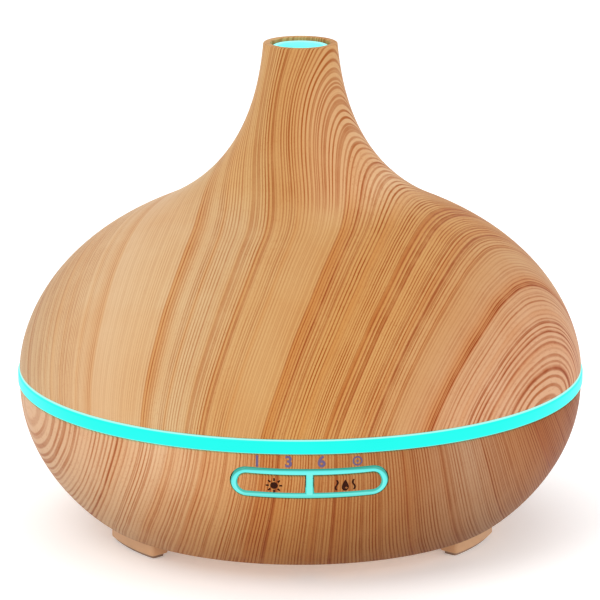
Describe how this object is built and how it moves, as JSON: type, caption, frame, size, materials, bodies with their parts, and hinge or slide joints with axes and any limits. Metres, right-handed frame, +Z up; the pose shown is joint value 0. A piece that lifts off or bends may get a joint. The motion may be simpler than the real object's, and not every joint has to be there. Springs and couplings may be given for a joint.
{
  "type": "aroma diffuser",
  "caption": "Ultrasonic aroma diffuser: wood-grain cover with a narrow neck over a bowl-shaped base, a glowing ring between them, two push buttons and three feet.",
  "frame": {"origin": "under the middle of the diffuser, on the surface its feet stand on", "axes": "+Z up along the axis of the neck and bowl, -Y towards the two buttons, +X to the right seen from the buttons"},
  "size_m": [0.168, 0.168, 0.1456],
  "materials": {
    "wood_grain_shell": "satin plastic printed with wood grain",
    "bottom_plate": "fine moulded texture",
    "button_face": "satin plastic printed with wood grain",
    "glowing_band": "clear plastic lit from behind",
    "frosted_plastic": "milky translucent",
    "rubber_pad": "matte",
    "foam": "open-cell foam, matte",
    "screw_steel": "zinc plated",
    "brass_pin": "plated",
    "coil": "enamelled copper on a ferrite drum",
    "heat_sink": "extruded",
    "circuit_board": "solder mask",
    "light_board": "white solder mask",
    "black_plastic": "moulded",
    "piezo_ceramic": "silvered ceramic",
    "lead_insulation": "soft plastic insulation"
  },
  "bodies": {
    "base": {"base_shell": "wood_grain_shell", "light_ring": "glowing_band", "bottom_cover": "bottom_plate", "foot_pad_1": "rubber_pad", "foot_pad_2": "rubber_pad", "foot_pad_3": "rubber_pad", "bottom_screw_1": "screw_steel", "bottom_screw_2": "screw_steel", "bottom_screw_3": "screw_steel", "water_tank": "frosted_plastic", "air_tower": "frosted_plastic", "air_outlet_cap": "frosted_plastic", "transducer_gasket": "rubber_pad", "piezo_disc": "piezo_ceramic", "transducer_clamp": "screw_steel", "transducer_screw_1": "screw_steel", "transducer_screw_2": "screw_steel", "fan_frame": "black_plastic", "fan_gasket": "foam", "fan_screw_1": "screw_steel", "fan_screw_2": "screw_steel", "led_board": "light_board", "led_board_screw_1": "screw_steel", "led_board_screw_2": "screw_steel", "led_board_screw_3": "screw_steel", "button_bezel": "glowing_band", "light_switch": "black_plastic", "mist_switch": "black_plastic", "button_board": "circuit_board", "button_board_screw_1": "screw_steel", "button_board_screw_2": "screw_steel", "timer_light_guide": "frosted_plastic", "main_board": "circuit_board", "main_board_screw_1": "screw_steel", "main_board_screw_2": "screw_steel", "capacitor_1": "black_plastic", "capacitor_2": "black_plastic", "inductor": "coil", "driver_transistor": "black_plastic", "heat_sink": "heat_sink", "controller_chip": "black_plastic", "dc_jack": "black_plastic", "dc_jack_pin": "brass_pin", "power_lead": "lead_insulation", "fan_lead": "lead_insulation", "transducer_lead": "lead_insulation", "button_lead": "lead_insulation", "led_lead": "lead_insulation"},
    "cover": {"top_cover": "wood_grain_shell", "inner_cover": "frosted_plastic"},
    "light_button": {"light_button": "button_face", "light_switch_plunger": "black_plastic"},
    "mist_button": {"mist_button": "button_face", "mist_switch_plunger": "black_plastic"},
    "fan_rotor": {"fan_rotor": "black_plastic"}
  },
  "joints": [
    {"name": "cover_lift", "type": "slide", "parent": "base", "child": "cover", "axis": [0, 0, 1], "range_m": [0, 0.1]},
    {"name": "light_press", "type": "slide", "parent": "base", "child": "light_button", "axis": [0, 0.9767, 0.2147], "range_m": [0, 0.0008], "stiffness_N_per_m": 400},
    {"name": "mist_press", "type": "slide", "parent": "base", "child": "mist_button", "axis": [0, 0.9767, 0.2147], "range_m": [0, 0.0008], "stiffness_N_per_m": 400},
    {"name": "fan_spin", "type": "hinge", "parent": "base", "child": "fan_rotor", "pos_m": [0, 0.032, 0.0152], "axis": [0, 0, 1], "continuous": true}
  ]
}
